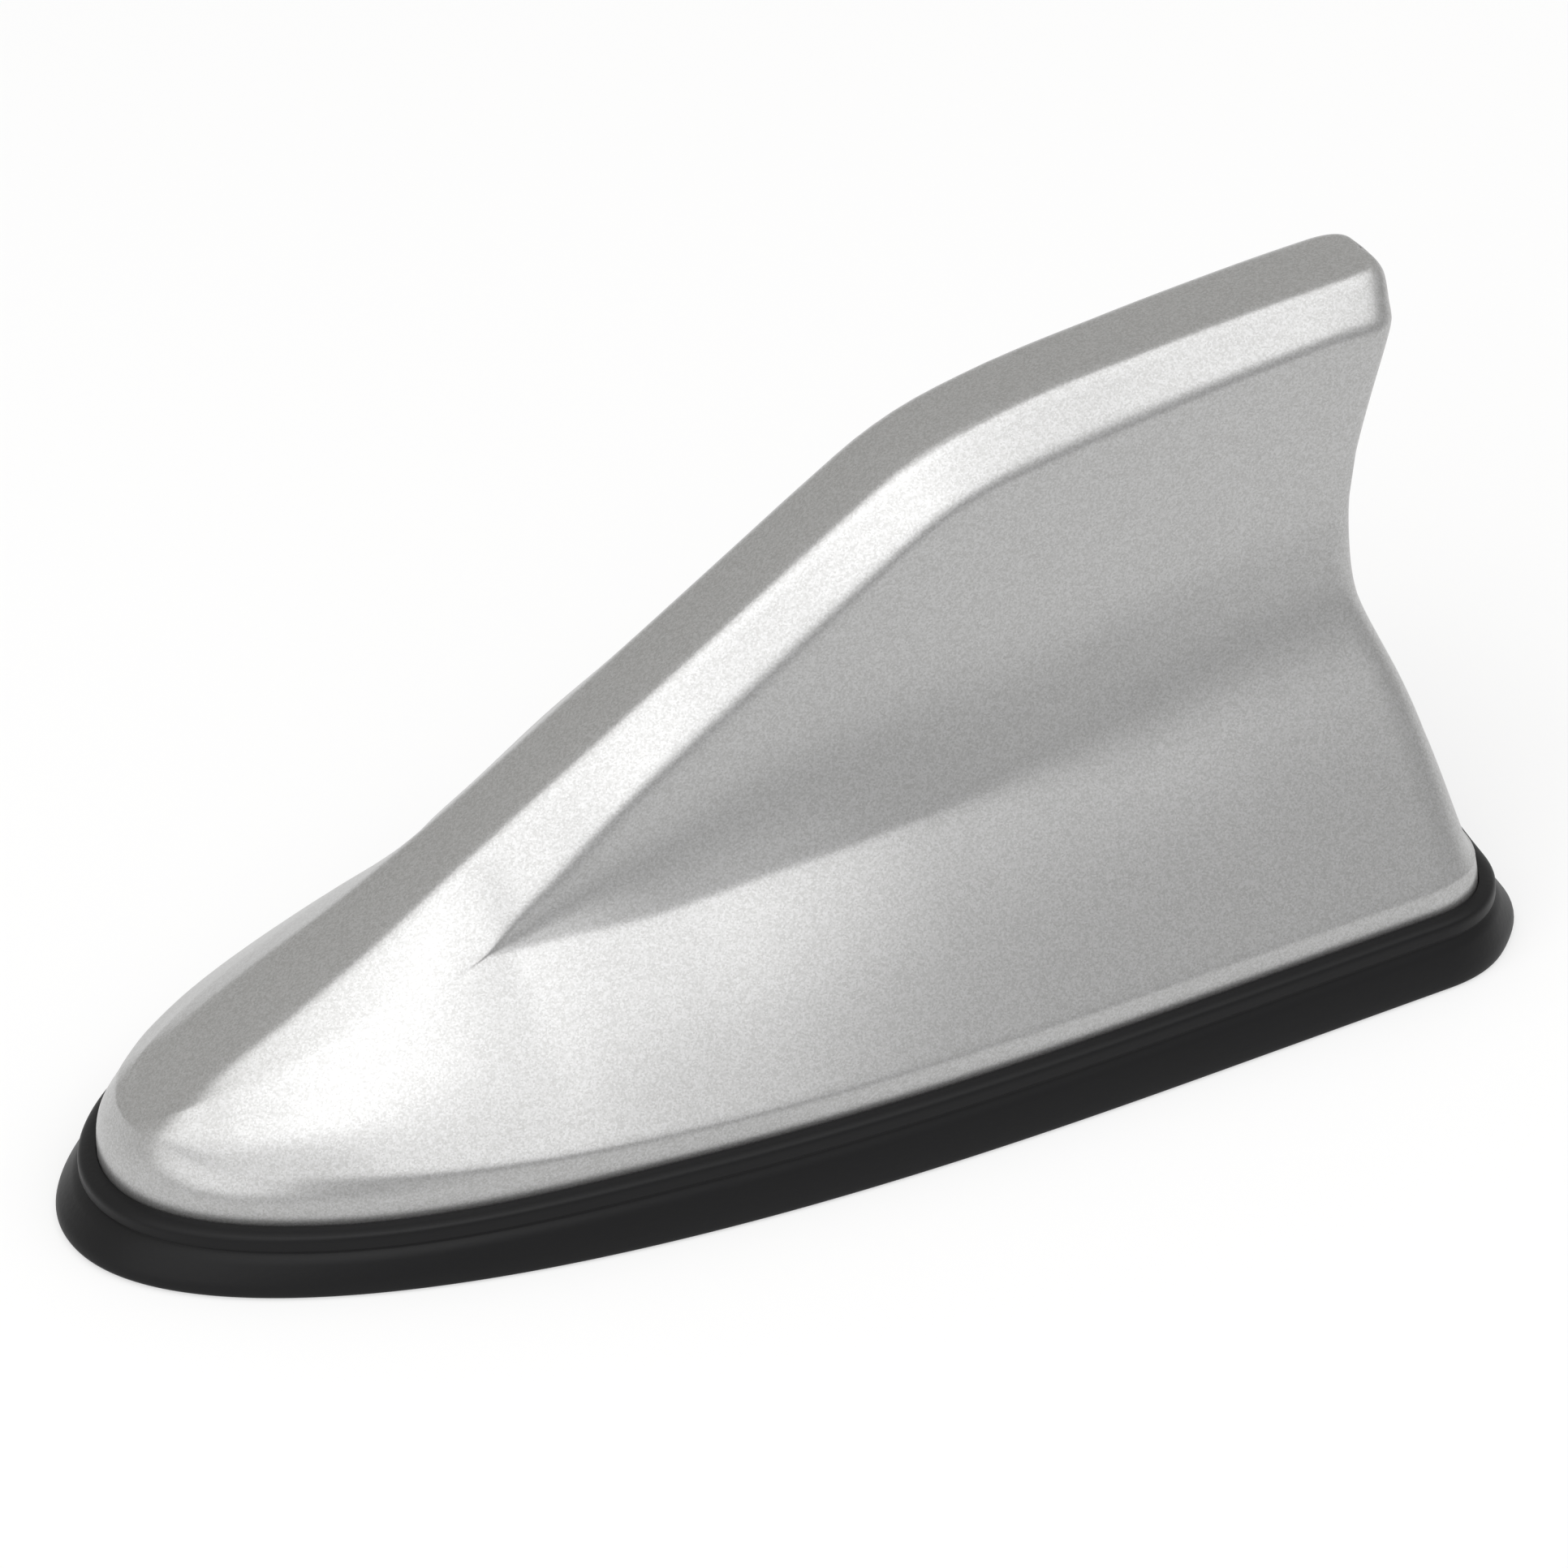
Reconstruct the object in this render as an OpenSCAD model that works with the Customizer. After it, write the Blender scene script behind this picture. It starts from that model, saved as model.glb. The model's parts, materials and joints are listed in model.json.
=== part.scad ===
// Shark fin aerial for a car roof. The nose points along -X, the tail along +X, and Z is up.
// The origin lies on the roof skin, under the middle of the rubber skirt.

/* [Fin cover] */
// Length of the cover where it meets the rubber
cover_l = 150; // [140:0.2:170]
// Width of the cover where it meets the rubber
cover_w = 64; // [60:0.5:76]
// Height of the roof line at the tip, above the roof skin
fin_h = 70; // [64:0.5:84]
// Wall of the moulded cover
cover_wall = 2.2; // [1.6:0.1:2.6]

/* [Rubber skirt] */
// How far the skirt stands out from the cover at the sides
skirt_side = 3.2; // [2.6:0.1:4.4]
// How far the skirt stands out from the cover at the nose and the tail
skirt_end = 5; // [3.8:0.1:6]
// Height of the visible rubber
skirt_h = 7.8; // [7:0.1:9]
// Depth of the groove that the cover's edge stands in
groove_d = 1.35; // [1:0.05:1.6]
// Thickness of the rubber web inside the groove
web_t = 1.1; // [0.8:0.1:1.4]
// Gap between the rubber and the cover's wall
seal_gap = 0.05; // [0.02:0.01:0.1]

/* [Base] */
// Thickness of the bonding tape that holds the aerial on the roof
pad_t = 1.6; // [1:0.1:2]
// Width of the rubber foot that reaches in under the base plate
foot_w = 2.6; // [2:0.1:4]
// Thickness of the base plate
plate_t = 2.8; // [2.6:0.1:3.2]
// Width of the rim that stands round the base plate
rim_t = 1.4; // [1:0.1:2]
// Height of that rim above the plate
rim_h = 2.4; // [1.6:0.1:3]
// Gap round the base plate
plate_gap = 0.15; // [0.1:0.05:0.3]

/* [Screws] */
// Distance of the front cover screws ahead of the middle
front_screw_x = 42; // [38:0.5:44]
// Distance of the front cover screws from the centre line
front_screw_y = 14; // [13:0.5:15]
// Distance of the rear cover screws behind the middle
rear_screw_x = 58; // [54:0.5:60]
// Distance of the rear cover screws from the centre line
rear_screw_y = 20; // [18:0.5:21]
// Diameter of a cover screw's shank
cover_screw_d = 2.8; // [2.5:0.1:3]
// Diameter of a cover screw's head
cover_head_d = 5.4; // [5:0.1:5.6]
// Height of a cover screw's head
cover_head_h = 1.5; // [1.2:0.1:1.6]
// Length of a cover screw's shank
cover_screw_l = 9; // [7:0.5:10]
// Diameter of the bosses inside the cover
boss_d = 6.4; // [6:0.2:7]
// Diameter of a board screw's shank
board_screw_d = 2; // [1.8:0.1:2.2]
// Diameter of a board screw's head
board_head_d = 4; // [3.6:0.1:4.4]
// Height of a board screw's head
board_head_h = 1.3; // [1:0.1:1.6]
// Length of a board screw's shank
board_screw_l = 4.6; // [4:0.2:5]

/* [Amplifier board] */
// Length of the board
board_l = 88; // [84:0.5:90]
// Width of the board
board_w = 25; // [23:0.5:27]
// Thickness of the board
board_t = 1.6; // [1.2:0.1:2]
// Place of the board's middle along the aerial
board_x = 10; // [8:0.5:12]
// Height of the posts that carry the board
post_h = 4; // [3.4:0.1:5]
// Diameter of those posts
post_d = 5; // [4.6:0.1:6]
// Length of the screening can
can_l = 24; // [20:0.5:26]
// Width of the screening can
can_w = 17; // [15:0.5:18]
// Height of the screening can
can_h = 4.6; // [4:0.1:6]
// Sheet that the can is folded from
can_t = 0.4; // [0.3:0.05:0.5]

/* [Aerial coil] */
// Distance of the coil ahead of the board's rear end
coil_in = 12; // [11:0.5:14]
// Diameter of the former that the coil is wound on
former_d = 8.4; // [7.6:0.2:8.8]
// Diameter of the wire
wire_d = 1; // [0.8:0.1:1.2]
// Number of turns
coil_turns = 11; // [8:1:13]
// Height of the rubber buffer on the former
buffer_h = 5; // [4:0.5:6]

/* [Cable outlet] */
// Distance of the outlet ahead of the middle
outlet_x = 54; // [52:0.5:56]
// Bore that the lead passes through
outlet_d = 5.2; // [4.6:0.1:5.6]
// Wall of the grommet
grommet_t = 1.9; // [1.6:0.1:2.2]
// Width of the grommet's two flanges
flange_w = 1.3; // [1:0.1:1.6]

/* [Hidden] */
$fn = 40;

// The form lines below are drawn at this length, width, height and seam height, then
// stretched to the driving sizes.
drawn = [150, 64, 70, 7.8];
form_w = drawn[1];
form_seam = drawn[3];
nose_x = -drawn[0] / 2;
shoulder_x = 35.4;    // the plan is widest here
side_end = 64;        // the flat of the side ends here and the rear corner begins
nose_full = [2.52, 2.05]; // fullness of the plan curve along X and across
fan_from = -20;       // ahead of this the sections fan out round the nose
fan_pull = 9;         // how far the fan is pulled back at the nose
nose_blend = [-46, 9];    // the form lines take over from the nose's flank: from X, within
flank_spread = [-72, 34]; // the flank's key points spread apart: from X, within
flank_bow = [-70, 25, 4.8, 6.4]; // bow of the flank: from X, within, at the nose, behind it

// Roof line: X, height
roof_line = [
    [-77, 11.4], [-70, 15.4], [-64, 18.8], [-56, 22.6], [-47, 26.9], [-38, 31.9],
    [-25, 39.5], [-10, 48.3], [2, 55.4], [10, 60.1], [16, 63.4], [21, 65.3],
    [28, 66.85], [45, 68.6], [60, 69.5], [75, 69.94]
];
// Half width of the roof strip: X, half width
roof_strip = [[-77, 4.9], [-60, 4.9], [-45, 4.3], [0, 4.2], [75, 4.4]];
// Lower edge of the shoulder: X, half width, height
shoulder_line = [
    [-46, 8.3, 25.75], [-42, 10, 26.1], [-38, 11.4, 26.5], [-36.3, 11.2, 26.95],
    [-30.4, 10.5, 31.1], [-26.4, 10, 33.7],
    [-18.6, 9.4, 38.4], [-10.7, 9.1, 42.8], [-3, 9, 47.2], [8.5, 9, 54.2], [14, 9, 57.4],
    [19, 9, 60], [24, 9, 61.5], [30, 9, 62.4], [43, 9, 63.9], [58, 9, 65.3], [74, 9, 66.2]
];
// Crease where the side panel meets the flared body: X, half width, height
crease_line = [
    [-46, 12.3, 22.6], [-42, 12, 24.35], [-38, 11.8, 26.15], [-36.3, 11.9, 26.6],
    [-31.4, 12.4, 27.2], [-21.2, 13.6, 27],
    [-14, 14.4, 27.5], [-7, 15.2, 28.4], [0.3, 16, 29.1], [7.8, 16.4, 29.8],
    [15.5, 16.4, 30.3], [23.5, 15.9, 31.2], [35.7, 14.9, 32.6], [50, 13.8, 34.6],
    [68, 13.2, 36]
];
// Upper edge of the flange above the rubber: X, height, how far it lies in from the seam
flange_line = [
    [-77, 12.8, 2.5], [-70, 12.3, 2], [-60, 11.7, 1.3], [-45, 10.9, 0.5], [-20, 10.7, 0.4],
    [35, 10.6, 0.4], [77, 10.6, 0.4]
];
// Rear end of the side, by control point of the section: number, X
rim_line = [
    [0, 63.4], [3, 63.5], [5, 64.4], [7, 62.3], [8, 62.9], [9, 64.3], [10, 69.7], [11, 69.9],
    [12, 70.5], [13, 71.5], [14, 71.4], [16, 70.7]
];
// Size of the rear corner, and how far the rear wall bows out behind it
rim_turn = [
    [0, 7.8], [3, 7.4], [5, 4.6], [7, 3.4], [9, 3], [10, 2.6], [11, 3], [13, 2.6], [14, 2], [16, 1.6]
];
rim_bow = [[0, 3.8], [3, 3.7], [5, 2.5], [7, 1.4], [9, 1], [11, 0.7], [14, 0.3], [16, 0.2]];
top_rows = 13;        // control points past this one fold over the roof's rear edge

// Where the sections are sampled, as numbers of control points
outer_steps = [
    0, 1, 1.8, 2.5, 3, 3.5, 4.2, 5.2, 6.2, 6.8, 7.2, 7.8, 8.6, 9.4, 10.3, 10.8, 11.2, 11.8,
    12.7, 13.4, 13.9, 14.4, 15.1, 16
];
// Control points that the key points stand at, and how far the inner skin lies in from each
// key point, as shares of the wall across and down: along the side, and at the nose
key_steps = [0, 3, 7, 11, 14, 16];
inner_side = [[0.95, 0], [1, 0.35], [0.95, 0.5], [0.75, 0.55], [0.4, 1.1], [0, 1.2]];
inner_nose = [[0.8, 0], [1, 0.4], [0.9, 0.75], [0.9, 0.85], [1, 0.95], [0, 1.2]];
nose_rows = 24;
side_rows = 15;
turn_rows = 6;
wall_rows = 4;

seat_z = skirt_h - groove_d;          // the cover's edge stands here
plate_z = pad_t;                      // underside of the base plate
plate_top = plate_z + plate_t;
board_z = plate_top + post_h;         // underside of the board
board_top = board_z + board_t;
plate_in = cover_wall + seal_gap * 2 + web_t + plate_gap;
turn_steps = 14;                      // straight stretches in a turn of the coil
coil_r = former_d / 2 / cos(180 / turn_steps) + wire_d / 2 + 0.02;
stretch = [cover_l / drawn[0], cover_w / form_w, (fin_h - skirt_h) / (drawn[2] - form_seam)];

function ease(t) = let (c = max(0, min(1, t))) c * c * (3 - 2 * c);
function mix(a, b, t) = a + (b - a) * t;
function last(list) = list[len(list) - 1];

// Smooth curve through the knots of a line
function span_of(line, x, i = 0) =
    i >= len(line) - 2 || x < line[i + 1][0] ? i : span_of(line, x, i + 1);
function rise(line, i, c) = (line[i + 1][c] - line[i][c]) / (line[i + 1][0] - line[i][0]);
function knot_slope(line, i, c) =
    i == 0 ? rise(line, 0, c)
    : i == len(line) - 1 ? rise(line, i - 1, c)
    : let (a = line[i][0] - line[i - 1][0], b = line[i + 1][0] - line[i][0])
      (rise(line, i - 1, c) * b + rise(line, i, c) * a) / (a + b);
function along(line, x, c = 1) =
    let (i = span_of(line, x), h = line[i + 1][0] - line[i][0],
         t = max(0, min(1, (x - line[i][0]) / h)))
    (2 * t ^ 3 - 3 * t ^ 2 + 1) * line[i][c] + (t ^ 3 - 2 * t ^ 2 + t) * h * knot_slope(line, i, c)
    + (3 * t ^ 2 - 2 * t ^ 3) * line[i + 1][c] + (t ^ 3 - t ^ 2) * h * knot_slope(line, i + 1, c);

// Point at a distance from a towards b, at most just under half way
function towards(a, b, d) = let (v = b - a, n = norm(v)) a + v / n * min(d, 0.45 * n);
// Point part of the way from a to b, lifted square to that line
function bulged(a, b, f, h) = let (v = b - a) a + v * f + [v[1], -v[0]] / norm(v) * h;

// Foot of a section in plan, by row: the nose curve, then the straight side
function foot(i) =
    i < nose_rows
    ? let (a = 90 * i / nose_rows)
      [shoulder_x - (shoulder_x - nose_x) * cos(a) ^ (2 / nose_full[0]),
       form_w / 2 * sin(a) ^ (2 / nose_full[1])]
    : [shoulder_x, form_w / 2];

// X of a control point j in a side section, t = 0 at the widest place and 1 at the rear corner
function side_x(j, t) =
    shoulder_x + (side_end - shoulder_x) * t + (lookup(j, rim_line) - side_end) * t * t;

// Key points of a section as [distance from the centre line, height]:
// foot, flange, crease, shoulder, roof edge, roof middle
function keys(p, rx, dir, t) =
    let (on_side = t > 0,
         x1 = on_side ? side_x(3, t) : p[0],
         x2 = on_side ? side_x(7, t) : p[0],
         x4 = on_side ? side_x(11, t) : p[0],
         x5 = on_side ? side_x(14, t) : p[0],
         s0 = norm([p[0] - rx, p[1]]),
         s1 = s0 - along(flange_line, x1, 2),
         z1 = along(flange_line, x1),
         s5 = 1 / norm([dir[1] / along(roof_strip, x5), dir[0] / 5]),
         z5 = along(roof_line, on_side ? x5 : rx + dir[0] * s5),
         z6 = along(roof_line, on_side ? side_x(16, t) : rx) + 0.2,
         blend = on_side ? 1 : ease((p[0] - nose_blend[0]) / nose_blend[1]),
         out = ease((p[0] - flank_spread[0]) / flank_spread[1]),
         f2 = 0.42 + 0.18 * out,
         f4 = 0.66 + 0.06 * out,
         bow = mix(flank_bow[2], flank_bow[3], ease((p[0] - flank_bow[0]) / flank_bow[1])))
    [[s0, form_seam - groove_d / stretch[2]],
     [s1, z1],
     [mix(mix(s1, s5, f2), along(crease_line, x2), blend),
      mix(mix(z1, z5, f2) + bow * f2 * (1 - f2), along(crease_line, x2, 2), blend)],
     [mix(mix(s1, s5, f4), along(shoulder_line, x4), blend),
      mix(mix(z1, z5, f4) + bow * f4 * (1 - f4), along(shoulder_line, x4, 2), blend)],
     [s5, z5],
     [0, z6]];

// Control polygon of the outer section: each key point is held by a point on either side of
// it, close by where the edge is sharp and further off where it is soft
function outer_polygon(k, p, t) =
    let (blend = t > 0 ? 1 : ease((p[0] - nose_blend[0]) / nose_blend[1]),
         x2 = t > 0 ? side_x(7, t) : p[0],
         d1 = 1 + (t > 0 ? 0 : 2.2 * ease((-30 - p[0]) / 45)),
         d2 = 1 + 9 * ease((x2 - 8) / 50) + 2 * (1 - blend),
         d4 = 1.1 + 2 * (1 - blend),
         d5 = 1.3 - 0.2 * (1 - blend),
         wall = [k[0][0], form_seam + 0.35 * (k[1][1] - form_seam)],
         flank = bulged(k[1], k[2], 0.5, 0.55),
         panel = bulged(k[2], k[3], 0.45, -0.075 * norm(k[3] - k[2]) * blend))
    [k[0], wall, towards(k[1], wall, d1), k[1], towards(k[1], flank, d1), flank,
     towards(k[2], flank, d2), k[2], towards(k[2], panel, d2), panel,
     towards(k[3], panel, d4), k[3], towards(k[3], k[4], d4),
     towards(k[4], k[3], d5), k[4], towards(k[4], k[5], d5), k[5]];

// Middle of the fan that a foot point belongs to, and the way from there to the foot
function fan_x(p) = p[0] + fan_pull * max(0, (fan_from - p[0]) / (fan_from - nose_x)) ^ 2;
function fan_dir(p, i) = i == 0 ? [-1, 0] : let (v = [p[0] - fan_x(p), -p[1]]) v / norm(v);
// Section polygon in space, for row i of the nose and the side
function section(i) =
    let (p = foot(i), t = max(0, i - nose_rows) / side_rows, rx = fan_x(p), dir = fan_dir(p, i),
         q = outer_polygon(keys(p, rx, dir, t), p, t))
    [for (j = [0:len(q) - 1])
        t > 0
        ? [side_x(j, t), -q[j][0], q[j][1]]
        : [rx + dir[0] * q[j][0], dir[1] * q[j][0], q[j][1]]];

// Cubic B-spline along a section polygon. It starts at the first point and crosses the
// centre line square to it.
function spline(q, v) =
    let (n = len(q), i = min(floor(v), n - 2), t = v - i,
         a = i == 0 ? 2 * q[0] - q[1] : q[i - 1],
         m = q[n - 2],
         b = i + 2 > n - 1 ? [m[0], -m[1], m[2]] : q[i + 2])
    ((1 - t) ^ 3 * a + (3 * t ^ 3 - 6 * t ^ 2 + 4) * q[i]
     + (3 * t ^ 2 + 3 * t - 3 * t ^ 3 + 1) * q[i + 1] + t ^ 3 * b) / 6;

// Rear corner and rear wall: the side runs on to a corner line, turns round it and crosses
// to the centre line. Rows past the roof edge fold down over the rear edge instead.
least_leg = 0.6;
function leg_at(v, cut) = max(least_leg, lookup(v, rim_turn) - cut);
function corner_of(side, before, steps, j, cut) =
    side[j] + (side[j] - before[j]) / norm(side[j] - before[j]) * leg_at(steps[j], cut);
function wall_foot(side, before, steps, j, cut) =
    let (c = corner_of(side, before, steps, j, cut), v = steps[j],
         e = corner_of(side, before, steps, len(steps) - 1, cut),
         f = max(0, v - top_rows) / (last(steps) - top_rows))
    [mix(c[0] + lookup(v, rim_bow), e[0], f), 0, mix(c[2], e[2] - 0.4, f)];
function tail_row(side, before, steps, i, cut) =
    [for (j = [0:len(steps) - 1])
        let (c = corner_of(side, before, steps, j, cut),
             w = wall_foot(side, before, steps, j, cut),
             q = mix(c, w, min(0.5, leg_at(steps[j], cut) / max(0.01, norm(w - c)))),
             t = i / turn_rows)
        i <= turn_rows
        ? (1 - t) ^ 2 * side[j] + 2 * t * (1 - t) * c + t * t * q
        : mix(q, w, (i - turn_rows) / wall_rows)];

// Stretches a drawn point to the driving sizes
function placed(p) =
    [p[0] * stretch[0], p[1] * stretch[1], skirt_h + (p[2] - form_seam) * stretch[2]];
// Rows of the nose and side, then the rows round the tail, all at the driving sizes
function with_tail(rows, steps, cut) =
    let (side = last(rows), before = rows[len(rows) - 2])
    [for (r = rows) [for (p = r) placed(p)],
     for (i = [1:turn_rows + wall_rows])
        [for (p = tail_row(side, before, steps, i, cut)) placed(p)]];

outer_skin = with_tail(
    [for (i = [0:nose_rows + side_rows]) let (q = section(i)) [for (v = outer_steps) spline(q, v)]],
    outer_steps, 0
);

// The inner skin joins the key points of each section, set in by the wall, with straight lines
function inner_point(k, n, w, round_nose) =
    [max(0, k[0] - w * mix(inner_nose[n][0], inner_side[n][0], round_nose)),
     k[1] - w * mix(inner_nose[n][1], inner_side[n][1], round_nose)];
function inner_keys(k, x) =
    [for (n = [0:5]) inner_point(k[n], n, cover_wall, ease((x - flank_spread[0]) / 20))];
// What a small rear corner leaves of the wall is taken from the side's end
function inner_back(v) = max(0, cover_wall + least_leg - lookup(v, rim_turn));
function inner_section(i) =
    let (p = foot(i), t = max(0, i - nose_rows) / side_rows, rx = fan_x(p), dir = fan_dir(p, i),
         q = inner_keys(keys(p, rx, dir, t), p[0]))
    [for (n = [0:5])
        t > 0
        ? [side_x(key_steps[n], t) - inner_back(key_steps[n]) * t * t, -q[n][0], q[n][1]]
        : [rx + dir[0] * q[n][0], dir[1] * q[n][0], q[n][1]]];
inner_skin = with_tail(
    [for (i = [0:nose_rows + side_rows]) inner_section(i)], key_steps, 0.85 * cover_wall
);

half = len(outer_skin);
around = 2 * half - 2;
// Place in a row list of position i of the ring round the part
function row_of(i) = let (k = i % around) k < half ? k : around - k;
// Ring of points round the whole part at level j of a set of rows
function ring_at(rows, j) =
    [for (i = [0:around - 1]) let (p = rows[row_of(i)][j]) i < half ? p : [p[0], -p[1], p[2]]];
// Points of a skin: its rings, then its middle line
function skin_points(rows) =
    let (n = len(rows[0]) - 1)
    [for (j = [0:n - 1]) each ring_at(rows, j), for (r = rows) r[n]];
// Two triangles for a patch with corners a, b, c, d
function patch(a, b, c, d) = [[a, d, c], [a, c, b]];
function skin_faces(n, start) =
    [for (j = [0:n - 1], i = [0:around - 1])
        let (k = (i + 1) % around, a = start + j * around, b = a + around)
        each j < n - 1
            ? patch(a + i, a + k, b + k, b + i)
            : patch(a + i, a + k, b + row_of(k), b + row_of(i))];
function flipped(faces) = [for (f = faces) [f[2], f[1], f[0]]];

// Seam line in plan, and the square to it at each point
seam = [for (p = ring_at(outer_skin, 0)) [p[0], p[1]]];
normals = [for (i = [0:around - 1])
    let (t = seam[(i + 1) % around] - seam[(i + around - 1) % around]) [t[1], -t[0]] / norm(t)];
// The seam line moved square to itself. Outwards it goes further at the ends than at the sides,
// the more so the further out it lies, and more gently round the nose than round the tail.
function moved(d) =
    let (extra = (skirt_end - skirt_side) * (max(0, d) / skirt_side) ^ 3)
    [for (i = [0:around - 1])
        let (n = normals[i]) seam[i] + n * (d + extra * n[0] ^ (n[0] < 0 ? 2 : 8))];
function shrunk(ring, d) =
    [for (p = ring) [p[0] * (1 - 2 * d / cover_l), p[1] * (1 - 2 * d / cover_w)]];
function at_height(ring, z) = [for (p = ring) [p[0], p[1], z]];
plate_ring = moved(-plate_in);
web_ring = moved(-(plate_in - plate_gap));

// Key points of the section that stands at x, for what has to fit under the cover
function keys_at(x) =
    let (dx = x / stretch[0])
    dx > shoulder_x
    ? keys([shoulder_x, form_w / 2], shoulder_x, [0, -1], (dx - shoulder_x) / (side_end - shoulder_x))
    : let (h = form_w / 2
           * (1 - ((shoulder_x - dx) / (shoulder_x - nose_x)) ^ nose_full[0]) ^ (1 / nose_full[1]))
      keys([dx, h], dx, [0, -1], 0);
// Height of the line from key point a to key point b at a distance y from the centre line
function height_between(a, b, y) =
    placed([0, 0, mix(a[1], b[1], (a[0] - y / stretch[1]) / (a[0] - b[0]))])[2];
function boss_top(x, y) =
    let (k = keys_at(x)) height_between(k[1], k[2], y + boss_d / 2) - 0.6 * cover_wall;

cover_screws = [
    [-front_screw_x, -front_screw_y], [-front_screw_x, front_screw_y],
    [rear_screw_x, -rear_screw_y], [rear_screw_x, rear_screw_y]
];
board_screws = [for (sx = [-1, 1], sy = [-1, 1])
    [board_x + sx * (board_l / 2 - post_d), sy * (board_w / 2 - 0.7 * post_d)]];
head_gap = 0.2;
shank_gap = 0.1;
counterbore_z = plate_z + cover_head_h;
grommet_r = outlet_d / 2 + grommet_t;
flange_r = grommet_r + flange_w;
flange_t = 1.2;
pad_gap = 0.2;
coil_x = board_x + board_l / 2 - coil_in;
buffer_r = former_d / 2 + 0.8;
buffer_top = let (k = inner_keys(keys_at(coil_x), coil_x)) height_between(k[4], k[3], buffer_r) - 0.4;
former_top = buffer_top - buffer_h;
former_flange_t = 1.6;
former_flange_r = former_d / 2 + 2;
coil_start = board_top + former_flange_t + wire_d;
coil_end = former_top - wire_d;

module fin_cover() color("silver") difference() {
    n_out = len(outer_steps) - 1;
    n_in = len(key_steps) - 1;
    first_in = len(skin_points(outer_skin));
    union() {
        polyhedron(
            points = concat(skin_points(outer_skin), skin_points(inner_skin)),
            faces = concat(
                skin_faces(n_out, 0),
                flipped(skin_faces(n_in, first_in)),
                [for (i = [0:around - 1])
                    let (k = (i + 1) % around) each patch(first_in + i, first_in + k, k, i)]
            )
        );
        for (p = cover_screws)
            translate([p[0], p[1], plate_top])
                cylinder(d = boss_d, h = boss_top(p[0], abs(p[1])) - plate_top);
    }
    for (p = cover_screws)
        translate([p[0], p[1], plate_top - 1])
            cylinder(d = cover_screw_d + 2 * shank_gap, h = cover_screw_l + cover_head_h - plate_t + 2);
}

// The skirt's section as [distance out from the seam, height], swept round the seam line. Its
// lip lies lower round the nose.
lip = 1.8;
lip_low = skirt_h - 2;
nose_drop = [-22, 36, 0.74 * groove_d]; // the lip sinks ahead of X, within, by
function sunk(d, z) =
    let (ring = moved(d), share = min(1, z / lip_low))
    [for (i = [0:around - 1])
        let (s = nose_drop[2] * ease((nose_drop[0] - seam[i][0]) / nose_drop[1]))
        [ring[i][0], ring[i][1], z - s * share]];
module seal_skirt() color("#202124") {
    web_in = -cover_wall - seal_gap * 2;
    web_top = seat_z + 0.9;
    outside = [
        [skirt_side - 0.5, 0], [skirt_side - 0.1, 0.3], [skirt_side, 0.8],
        [skirt_side - 0.1, 1.8], [skirt_side - 0.5, 3.2], [skirt_side - 1.05, 4.6],
        [lip - 0.3, lip_low - 0.4],
        [lip - 0.3, lip_low - 0.1], [lip, lip_low], [lip, skirt_h - 0.8],
        [lip - 0.35, skirt_h - 0.3], [lip - 0.9, skirt_h - 0.1], [seal_gap, skirt_h - 0.05]
    ];
    profile = [
        for (p = outside) sunk(p[0], p[1]),
        at_height(moved(seal_gap), seat_z), at_height(moved(web_in), seat_z),
        at_height(moved(web_in), web_top), at_height(web_ring, web_top),
        at_height(web_ring, plate_z), at_height(shrunk(web_ring, foot_w), plate_z),
        at_height(shrunk(web_ring, foot_w), 0)
    ];
    n = len(profile);
    polyhedron(
        points = [for (ring = profile) each ring],
        faces = [for (j = [0:n - 1], i = [0:around - 1])
            let (k = (i + 1) % around, a = j * around, b = (j + 1) % n * around)
            each patch(a + i, a + k, b + k, b + i)]
    );
}

module base_plate() color("#2b2c2e") difference() {
    union() {
        translate([0, 0, plate_z]) linear_extrude(plate_t) polygon(plate_ring);
        translate([0, 0, plate_top]) linear_extrude(rim_h) difference() {
            polygon(plate_ring);
            polygon(shrunk(plate_ring, rim_t));
        }
        for (p = board_screws)
            translate([p[0], p[1], plate_top]) cylinder(d = post_d, h = post_h);
    }
    for (p = board_screws)
        translate([p[0], p[1], board_top - board_screw_l - 0.5])
            cylinder(d = board_screw_d + 2 * shank_gap, h = board_screw_l + 1);
    for (p = cover_screws) translate([p[0], p[1], plate_z - 1]) {
        cylinder(d = cover_head_d + 2 * head_gap, h = 1 + cover_head_h);
        cylinder(d = cover_screw_d + 4 * shank_gap, h = plate_t + 2);
    }
    translate([-outlet_x, 0, plate_z - 1]) cylinder(r = grommet_r, h = plate_t + 2);
}

module adhesive_pad() color("#b9bcc0") linear_extrude(pad_t) difference() {
    polygon(shrunk(web_ring, foot_w + pad_gap));
    for (p = cover_screws) translate(p) circle(d = cover_head_d + 2 * pad_gap);
    translate([-outlet_x, 0]) circle(r = flange_r + pad_gap);
}

module cable_grommet() color("#18191b") translate([-outlet_x, 0, 0]) rotate_extrude() polygon([
    [outlet_d / 2, plate_z - flange_t], [flange_r, plate_z - flange_t], [flange_r, plate_z],
    [grommet_r, plate_z], [grommet_r, plate_top], [flange_r, plate_top],
    [flange_r - 0.3, plate_top + flange_t], [outlet_d / 2, plate_top + flange_t]
]);

module amplifier_board() color("#1f6b3a") translate([0, 0, board_z]) linear_extrude(board_t)
    difference() {
        corner = 2;
        hull() for (sx = [-1, 1], sy = [-1, 1])
            translate([board_x + sx * (board_l / 2 - corner), sy * (board_w / 2 - corner)])
                circle(r = corner, $fn = 32);
        for (p = board_screws) translate(p) circle(d = board_screw_d + 4 * shank_gap);
    }

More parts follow.
